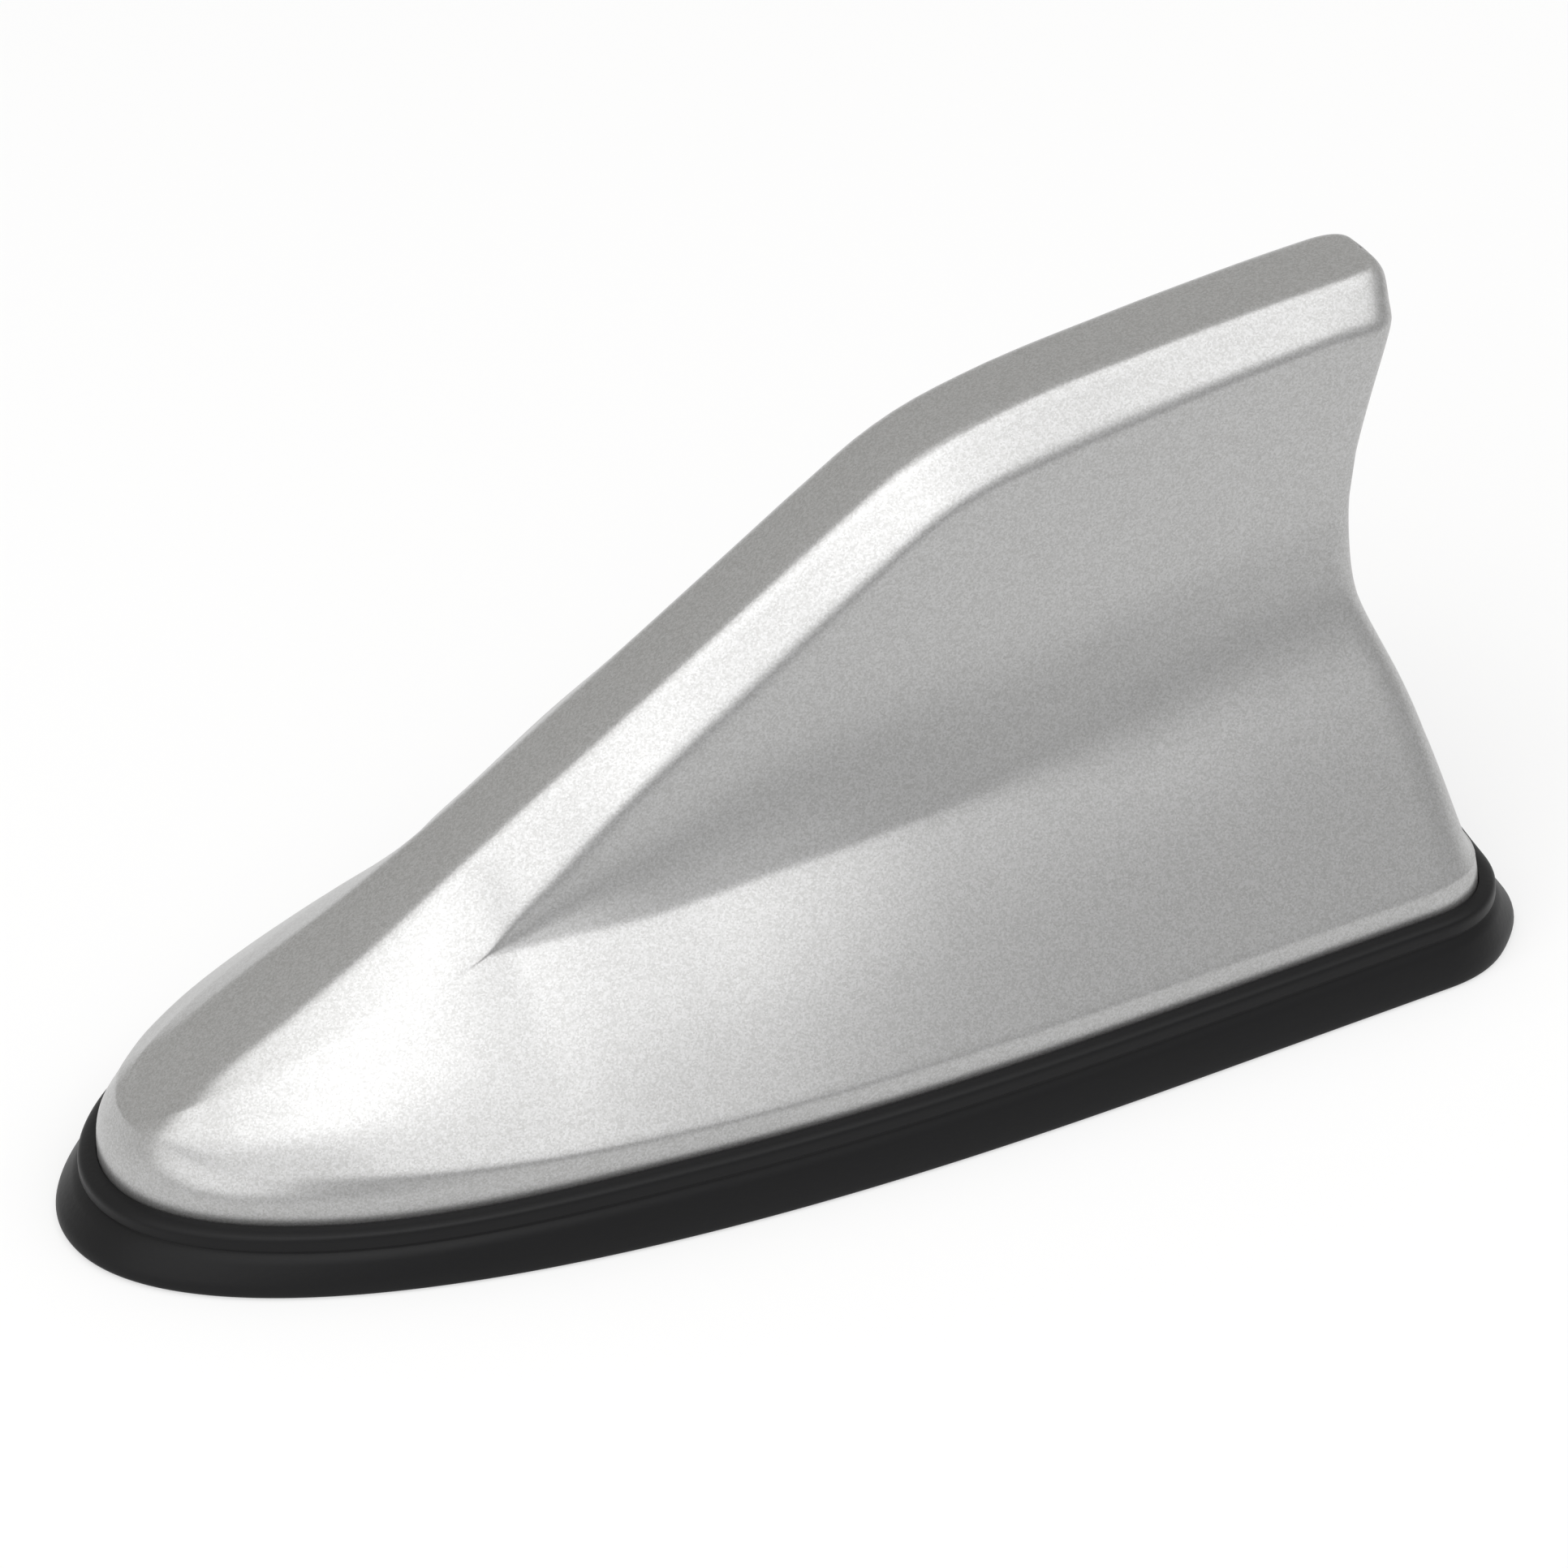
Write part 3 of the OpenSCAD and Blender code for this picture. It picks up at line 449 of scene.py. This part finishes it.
def rounded(profile, radius):
    """Profile with each corner that has a radius turned as a quadratic Bezier."""
    out = []
    for n, (point, r) in enumerate(zip(profile, radius)):
        p = np.array(point, float)
        if r == 0:
            out.append(p[None])
            continue
        ends = [np.array(profile[(n + side) % len(profile)], float) - p for side in (-1, 1)]
        a, b = (p + w / np.linalg.norm(w) * min(r, 0.48 * np.linalg.norm(w)) for w in ends)
        t = np.linspace(0, 1, CORNER_STEPS + 1)[:, None]
        out.append((1 - t) ** 2 * a + 2 * t * (1 - t) * p + t * t * b)
    return np.concatenate(out)


def seam_frame():
    """Seam line in plan as points and outward squares, by central differences."""
    seam = ring_of(outer_skin(), 0)[:, :2]
    way = np.roll(seam, -1, 0) - np.roll(seam, 1, 0)
    return seam, np.stack([way[:, 1], -way[:, 0]], -1) / length_of(way)


def moved(seam, normals, distance):
    """Seam line moved square to itself. Outwards it goes further at the ends than at the sides:
    by the cube of the distance, and by the square of the normal's X share round the nose and its
    eighth power round the tail."""
    extra = (SKIRT_END - SKIRT_SIDE) * (max(0, distance) / SKIRT_SIDE) ** 3
    x = normals[:, :1]
    return seam + normals * (distance + extra * np.where(x < 0, x**2, x**8))


def skirt_piece(material):
    """The rubber skirt: its profile, as distance out from the seam and height, is swept round the
    seam line, with its lip lower round the nose, and the foot inside is a shrunk copy of the
    web's line. A profile knot is (distance, height, radius)."""
    seam, normals = seam_frame()
    seat = SKIRT_H - GROOVE_D
    outside = [
        (SKIRT_SIDE - 0.5, 0, 0.1), (SKIRT_SIDE - 0.1, 0.3, 0.2), (SKIRT_SIDE, 0.8, 0.4),
        (SKIRT_SIDE - 0.1, 1.8, 0.6), (SKIRT_SIDE - 0.5, 3.2, 0.7), (SKIRT_SIDE - 1.05, 4.6, 0.5),
        (LIP - 0.3, LIP_LOW - 0.4, 0.2), (LIP - 0.25, LIP_LOW - 0.05, 0.1), (LIP, LIP_LOW, 0.1),
        (LIP, SKIRT_H - 0.55, 0.6), (LIP - 0.8, SKIRT_H - 0.1, 0.4), (SEAL_GAP, SKIRT_H - 0.05, 0.15),
    ]
    web = COVER_WALL + 2 * SEAL_GAP
    inside = [(SEAL_GAP, seat, 0), (-web, seat, 0), (-web, seat + WEB_RISE, 0.15)]
    knots = outside + inside
    profile = rounded([k[:2] for k in knots], [k[2] for k in knots])
    sunk = NOSE_DROP * ease((NOSE_DROP_FROM - seam[:, 0]) / NOSE_DROP_OVER)
    web_line = moved(seam, normals, -(web + WEB_T))
    foot = web_line * (1 - 2 * FOOT_W / np.array([COVER_L, COVER_W]))
    lower = (CORNER_STEPS + 1) * len(outside)
    rings = [
        (moved(seam, normals, d), z - (sunk * min(1, z / LIP_LOW) if n < lower else 0))
        for n, (d, z) in enumerate(profile)
    ]
    rings += [(web_line, seat + WEB_RISE), (web_line, PLATE_Z), (foot, PLATE_Z), (foot, 0)]
    points = np.concatenate([np.column_stack([r, z * np.ones(len(r))]) for r, z in rings])
    count = len(seam)
    numbers = [j * count + np.arange(count) for j in range(len(rings))]
    faces = np.concatenate([strip(a, b) for a, b in zip(numbers, numbers[1:] + numbers[:1])])
    return mesh_object("rubber_skirt", points, faces, material, 38)


def turned_piece(name, profile, centre, material):
    """A closed outline of (radius, height) turned about a vertical axis."""
    angle = np.linspace(0, 2 * np.pi, BOSS_SEGMENTS, endpoint=False)
    r, z = np.array(profile, float).T
    x = centre[0] + np.cos(angle)[None, :] * r[:, None]
    y = centre[1] + np.sin(angle)[None, :] * r[:, None]
    points = np.stack([x, y, np.broadcast_to(z[:, None], x.shape)], -1).reshape(-1, 3)
    rings = [j * BOSS_SEGMENTS + np.arange(BOSS_SEGMENTS) for j in range(len(profile))]
    faces = np.concatenate([strip(a, b) for a, b in zip(rings, rings[1:] + rings[:1])])
    return mesh_object(name, points, faces, material, 30)


def boss_height(x, y):
    """Height of the flank over the outer side of a boss, less a part of the wall."""
    t = np.array([max(0.0, (x / STRETCH[0] - SHOULDER_X) / (SIDE_END - SHOULDER_X))])
    share = (SHOULDER_X - x / STRETCH[0]) / (SHOULDER_X - NOSE_X)
    half = FORM_W / 2 * (1 - max(0.0, share) ** NOSE_FULL[0]) ** (1 / NOSE_FULL[1])
    feet = np.array([[min(x / STRETCH[0], SHOULDER_X), half]])
    keys = section_keys(feet, t)[0]
    part = (keys[1, 0] - (abs(y) + BOSS_D / 2) / STRETCH[1]) / (keys[1, 0] - keys[2, 0])
    z = mix(keys[1, 1], keys[2, 1], part)
    return SKIRT_H + (z - FORM_SEAM) * STRETCH[2] - BOSS_IN_WALL * COVER_WALL


def nodes_of(material):
    """The material's Principled shader and its node and link lists."""
    tree = material.node_tree
    return tree.nodes["Principled BSDF"], tree.nodes, tree.links


def new_group(name, inputs, outputs):
    """An empty shader node group with named sockets: (name, socket type, default)."""
    group = bpy.data.node_groups.new(name, "ShaderNodeTree")
    for label, kind, value in inputs:
        socket = group.interface.new_socket(label, in_out="INPUT", socket_type=kind)
        if value is not None:
            socket.default_value = value
    for label, kind in outputs:
        group.interface.new_socket(label, in_out="OUTPUT", socket_type=kind)
    return group, group.nodes.new("NodeGroupInput"), group.nodes.new("NodeGroupOutput")


def noise_in(group, source, scale):
    """Object-coordinate noise whose scale comes from a socket or a number."""
    noise = group.nodes.new("ShaderNodeTexNoise")
    noise.inputs["Detail"].default_value = 3
    group.links.new(source.outputs["Object"], noise.inputs["Vector"])
    if hasattr(scale, "is_linked"):
        group.links.new(scale, noise.inputs["Scale"])
    else:
        noise.inputs["Scale"].default_value = scale
    return noise.outputs["Fac"]


def calc(group, operation, a, b):
    node = group.nodes.new("ShaderNodeMath")
    node.operation = operation
    for socket, value in zip(node.inputs, (a, b)):
        if hasattr(value, "is_linked"):
            group.links.new(value, socket)
        else:
            socket.default_value = value
    return node.outputs[0]


def grain_group():
    """Fine surface grain: a height for a bump, and a roughness that wanders a little."""
    group, start, end = new_group(
        "surface_grain",
        [("Scale", "NodeSocketFloat", 900.0), ("Roughness", "NodeSocketFloat", 0.5),
         ("Wander", "NodeSocketFloat", 0.06)],
        [("Height", "NodeSocketFloat"), ("Roughness", "NodeSocketFloat")],
    )
    place = group.nodes.new("ShaderNodeTexCoord")
    height = noise_in(group, place, start.outputs["Scale"])
    patches = noise_in(group, place, 60.0)
    spread = calc(group, "MULTIPLY", calc(group, "SUBTRACT", patches, 0.5), start.outputs["Wander"])
    group.links.new(height, end.inputs["Height"])
    group.links.new(calc(group, "ADD", start.outputs["Roughness"], spread), end.inputs["Roughness"])
    return group


def flake_group():
    """Metallic flake: small cells whose brightness varies, as a colour between two paints, and a
    height that tilts them."""
    group, start, end = new_group(
        "paint_flake",
        [("Dark", "NodeSocketColor", None), ("Light", "NodeSocketColor", None),
         ("Scale", "NodeSocketFloat", 4500.0)],
        [("Color", "NodeSocketColor"), ("Height", "NodeSocketFloat")],
    )
    place = group.nodes.new("ShaderNodeTexCoord")
    cells = group.nodes.new("ShaderNodeTexVoronoi")
    group.links.new(place.outputs["Object"], cells.inputs["Vector"])
    group.links.new(start.outputs["Scale"], cells.inputs["Scale"])
    split = group.nodes.new("ShaderNodeSeparateColor")
    group.links.new(cells.outputs["Color"], split.inputs["Color"])
    blend = group.nodes.new("ShaderNodeMix")
    blend.data_type = "RGBA"
    group.links.new(split.outputs["Red"], blend.inputs["Factor"])
    group.links.new(start.outputs["Dark"], blend.inputs[6])
    group.links.new(start.outputs["Light"], blend.inputs[7])
    group.links.new(blend.outputs[2], end.inputs["Color"])
    group.links.new(split.outputs["Green"], end.inputs["Height"])
    return group


GRAIN = grain_group()
FLAKE = flake_group()


def finish(name, color, rough, metallic=0.0, grain=900.0, depth=0.0, wander=0.06, coat=0.0):
    """A plain material: Principled shader with the shared surface grain."""
    material = bpy.data.materials.new(name)
    material.use_nodes = True
    shader, nodes, links = nodes_of(material)
    shader.inputs["Base Color"].default_value = (*color, 1)
    shader.inputs["Metallic"].default_value = metallic
    shader.inputs["Coat Weight"].default_value = coat
    group = nodes.new("ShaderNodeGroup")
    group.node_tree = GRAIN
    group.inputs["Scale"].default_value = grain
    group.inputs["Roughness"].default_value = rough
    group.inputs["Wander"].default_value = wander
    links.new(group.outputs["Roughness"], shader.inputs["Roughness"])
    if depth:
        bump = nodes.new("ShaderNodeBump")
        bump.inputs["Distance"].default_value = depth * MM
        bump.inputs["Strength"].default_value = 1
        links.new(group.outputs["Height"], bump.inputs["Height"])
        links.new(bump.outputs["Normal"], shader.inputs["Normal"])
    return material


def silver_paint():
    """Satin silver paint with fine metal flake."""
    material = finish("silver_paint", (0.5, 0.5, 0.505), 0.33, 0.88, grain=700, wander=0.04)
    shader, nodes, links = nodes_of(material)
    shader.inputs["Coat Weight"].default_value = 0.1
    shader.inputs["Coat Roughness"].default_value = 0.25
    flake = nodes.new("ShaderNodeGroup")
    flake.node_tree = FLAKE
    flake.inputs["Dark"].default_value = (0.393, 0.39, 0.385, 1)
    flake.inputs["Light"].default_value = (0.512, 0.512, 0.512, 1)
    flake.inputs["Scale"].default_value = 5800
    links.new(flake.outputs["Color"], shader.inputs["Base Color"])
    bump = nodes.new("ShaderNodeBump")
    bump.inputs["Distance"].default_value = 0.0023 * MM
    bump.inputs["Strength"].default_value = 1
    links.new(flake.outputs["Height"], bump.inputs["Height"])
    links.new(bump.outputs["Normal"], shader.inputs["Normal"])
    return material


PAINT = silver_paint()
RUBBER = finish("skirt_rubber", (0.007, 0.007, 0.0075), 0.42, grain=1500, depth=0.02, wander=0.1)
nodes_of(RUBBER)[0].inputs["Specular IOR Level"].default_value = 0.18
FINISHES = {
    "cover_paint": PAINT,
    "skirt_rubber": RUBBER,
    "plate_plastic": finish("plate_plastic", (0.02, 0.02, 0.021), 0.5, grain=1800, depth=0.02),
    "pad_tape": finish("pad_tape", (0.42, 0.44, 0.46), 0.7, grain=2500, depth=0.03),
    "grommet_rubber": finish("grommet_rubber", (0.014, 0.014, 0.015), 0.55),
    "board_laminate": finish("board_laminate", (0.015, 0.11, 0.04), 0.25, coat=0.5),
    "can_tin": finish("can_tin", (0.68, 0.68, 0.67), 0.3, 1.0),
    "chip_epoxy": finish("chip_epoxy", (0.012, 0.012, 0.013), 0.45),
    "ferrite": finish("ferrite", (0.045, 0.045, 0.048), 0.6),
    "capacitor_metal": finish("capacitor_metal", (0.68, 0.69, 0.7), 0.3, 1.0),
    "socket_plastic": finish("socket_plastic", (0.6, 0.52, 0.33), 0.4),
    "former_plastic": finish("former_plastic", (0.72, 0.7, 0.64), 0.42),
    "coil_copper": finish("coil_copper", (0.75, 0.35, 0.16), 0.22, 1.0, coat=0.3),
    "buffer_rubber": finish("buffer_rubber", (0.02, 0.02, 0.022), 0.6),
    "screw_zinc": finish("screw_zinc", (0.5, 0.51, 0.53), 0.28, 1.0),
    "screw_yellow": finish("screw_yellow", (0.62, 0.48, 0.2), 0.3, 1.0),
}


def dress_nodes():
    """Gives every CAD node the finish of its material slot."""
    for row in frame["record"]["subparts"]:
        node = frame["nodes"][row["node"]]
        node.data.materials.clear()
        node.data.materials.append(FINISHES[row["material_slot"]])


def dress_cover():
    """The fine shell and its screw bosses stand for the CAD cover."""
    shell = shell_piece(PAINT)
    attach(shell, "root")
    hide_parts("fin_cover")
    for n, (x, y) in enumerate(COVER_SCREWS, 1):
        top = boss_height(x, y)
        hole, wall = BOSS_HOLE_D / 2, BOSS_D / 2
        profile = [
            (BOSS_AXIS, BOSS_HOLE_TOP), (hole, BOSS_HOLE_TOP), (hole, PLATE_TOP),
            (wall, PLATE_TOP), (wall, top), (BOSS_AXIS, top),
        ]
        boss = turned_piece(f"screw_boss_{n}", profile, (x, y), PAINT)
        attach(boss, "root")


def dress_skirt():
    """The fine skirt stands for the CAD skirt."""
    skirt = skirt_piece(RUBBER)
    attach(skirt, "root")
    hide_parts("seal_skirt")


def seen_white(tree, surface, share):
    """Mixes plain white into what camera, glossy and transmission rays see of a surface. The rest
    stays its own shading, so that it keeps the object's shadow."""
    nodes, links = tree.nodes, tree.links
    path = nodes.new("ShaderNodeLightPath")
    seen = path.outputs["Is Camera Ray"]
    for ray in ("Is Glossy Ray", "Is Transmission Ray"):
        either = nodes.new("ShaderNodeMath")
        either.operation = "MAXIMUM"
        links.new(seen, either.inputs[0])
        links.new(path.outputs[ray], either.inputs[1])
        seen = either.outputs[0]
    part = nodes.new("ShaderNodeMath")
    part.operation = "MULTIPLY"
    links.new(seen, part.inputs[0])
    part.inputs[1].default_value = share
    white = nodes.new("ShaderNodeEmission")
    blend = nodes.new("ShaderNodeMixShader")
    links.new(part.outputs[0], blend.inputs[0])
    links.new(surface, blend.inputs[1])
    links.new(white.outputs[0], blend.inputs[2])
    return blend.outputs[0]


def make_floor():
    """A plain white floor."""
    size = 3.0
    mesh = bpy.data.meshes.new("floor")
    corners = [(-size, -size, 0), (size, -size, 0), (size, size, 0), (-size, size, 0)]
    mesh.from_pydata(corners, [], [(0, 1, 2, 3)])
    floor = bpy.data.objects.new("floor", mesh)
    bpy.context.scene.collection.objects.link(floor)
    material = bpy.data.materials.new("floor_white")
    material.use_nodes = True
    shader, nodes, links = nodes_of(material)
    shader.inputs["Base Color"].default_value = (0.86, 0.86, 0.86, 1)
    shader.inputs["Roughness"].default_value = 0.9
    shader.inputs["Specular IOR Level"].default_value = 0
    output = nodes["Material Output"]
    links.new(seen_white(material.node_tree, shader.outputs[0], 0.6), output.inputs["Surface"])
    mesh.materials.append(material)


def make_world():
    """Studio walls: grey, and white behind the object near the horizon."""
    world = bpy.data.worlds.new("studio")
    bpy.context.scene.world = world
    world.use_nodes = True
    nodes, links = world.node_tree.nodes, world.node_tree.links
    place = nodes.new("ShaderNodeTexCoord")
    split = nodes.new("ShaderNodeSeparateXYZ")
    ramp = nodes.new("ShaderNodeValToRGB")
    links.new(place.outputs["Generated"], split.inputs[0])
    links.new(split.outputs["Z"], ramp.inputs["Fac"])
    ramp.color_ramp.interpolation = "EASE"
    ramp.color_ramp.elements[0].position = 0.04
    ramp.color_ramp.elements[0].color = (1, 1, 1, 1)
    ramp.color_ramp.elements[1].position = 0.16
    ramp.color_ramp.elements[1].color = (0.62, 0.615, 0.6, 1)
    front = nodes.new("ShaderNodeMapRange")
    front.inputs["From Min"].default_value = 0.1
    front.inputs["From Max"].default_value = -0.3
    links.new(split.outputs["Y"], front.inputs["Value"])
    wall = nodes.new("ShaderNodeMix")
    wall.data_type = "RGBA"
    wall.inputs[7].default_value = (0.56, 0.56, 0.56, 1)
    links.new(front.outputs["Result"], wall.inputs["Factor"])
    links.new(ramp.outputs["Color"], wall.inputs[6])
    links.new(wall.outputs[2], nodes["Background"].inputs["Color"])
    nodes["Background"].inputs["Strength"].default_value = 1


LAMP_AIM = Vector((0, 0, 0.03))
LAMP_DISTANCE = 1.6


def add_softbox(name, direction, size, power):
    """A rectangular lamp that faces the object."""
    data = bpy.data.lights.new(name, "AREA")
    data.shape = "RECTANGLE"
    data.size, data.size_y = size
    data.energy = power
    lamp = bpy.data.objects.new(name, data)
    way = Vector(direction).normalized()
    lamp.location = LAMP_AIM + way * LAMP_DISTANCE
    lamp.rotation_mode = "QUATERNION"
    lamp.rotation_quaternion = way.to_track_quat("Z", "Y")
    bpy.context.scene.collection.objects.link(lamp)


def make_lamps():
    """A long softbox above in front, a wide one at the nose, and two small ones that fill in."""
    add_softbox("front_above", (0.15, -0.44, 0.89), (2.2, 1.1), 11.2)
    add_softbox("nose_front", (-0.66, -0.3, 0.66), (1.6, 1.9), 11.2)
    add_softbox("front_low", (-0.05, -0.8, 0.6), (1.1, 0.6), 1.2)
    add_softbox("nose_above", (-0.24, 0, 0.97), (1.0, 0.7), 2.0)


def make_camera():
    """A pinhole camera at the photograph's viewing angle. The photograph's scale in pixels a
    millimetre holds at the distance of the target."""
    turn, rise, roll = np.radians([27.0, 34.53, -2.41])
    distance, scale, photo = 800, 11.95, 1932
    target = np.array([0, 0, 30])
    target_px = (926.77, 949.36)
    back = np.array([-np.sin(turn) * np.cos(rise), -np.cos(turn) * np.cos(rise), np.sin(rise)])
    level = np.array([np.cos(turn), -np.sin(turn), 0])
    upright = np.array([np.sin(turn) * np.sin(rise), np.cos(turn) * np.sin(rise), np.cos(rise)])
    right = level * np.cos(roll) + upright * np.sin(roll)
    up = upright * np.cos(roll) - level * np.sin(roll)
    data = bpy.data.cameras.new("camera")
    data.sensor_width = 36
    data.lens = scale * distance / photo * data.sensor_width
    data.shift_x = (photo / 2 - target_px[0]) / photo
    data.shift_y = (target_px[1] - photo / 2) / photo
    camera = bpy.data.objects.new("camera", data)
    place = (target + distance * back) * MM
    rows = [list(row) for row in zip(right, up, back, place)]
    camera.matrix_world = Matrix(rows + [[0, 0, 0, 1]])
    bpy.context.scene.collection.objects.link(camera)
    bpy.context.scene.camera = camera


dress_nodes()
dress_cover()
dress_skirt()
make_floor()
make_world()
make_lamps()
make_camera()
bpy.context.scene.view_settings.view_transform = "Standard"
